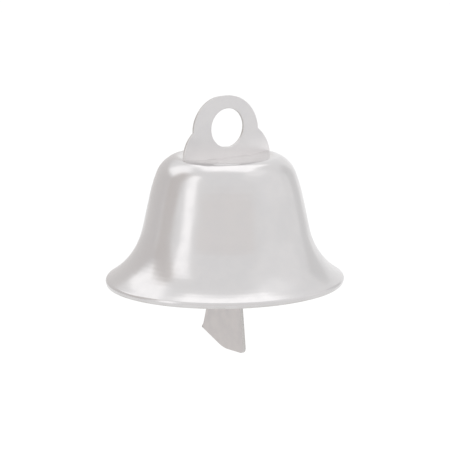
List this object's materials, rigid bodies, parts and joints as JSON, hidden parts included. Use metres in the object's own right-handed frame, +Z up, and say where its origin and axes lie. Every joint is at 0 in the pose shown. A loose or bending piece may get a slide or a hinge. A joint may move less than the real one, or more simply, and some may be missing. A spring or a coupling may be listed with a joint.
{
  "type": "hanging bell",
  "caption": "Small pressed-steel open-mouth bell with a flared rim, a flat eye plate on its crown and a swinging flat clapper.",
  "frame": {"origin": "the top of the hanger plate's eye, at the middle of the plate's thickness: the point that bears on whatever the bell hangs from", "axes": "+Z up along the bell's axis, through the eye; the hanger plate lies in the XZ plane and the clapper blade in the YZ plane"},
  "size_m": [0.0708, 0.0708, 0.0761],
  "materials": {
    "shell_steel": "satin nickel plate over smooth pressed sheet",
    "plate_steel": "satin nickel plate over a flat stamping",
    "clapper_steel": "duller satin nickel plate over a flat stamping with rough sheared edges"
  },
  "bodies": {
    "bell": {"bell_shell": "shell_steel", "hanger_plate": "plate_steel"},
    "clapper": {"clapper": "clapper_steel"}
  },
  "joints": [
    {"name": "clapper_swing", "type": "hinge", "parent": "bell", "child": "clapper", "pos_m": [0, 0, -0.0215], "axis": [1, 0, 0], "range_deg": [-36.5, 33.5]}
  ]
}
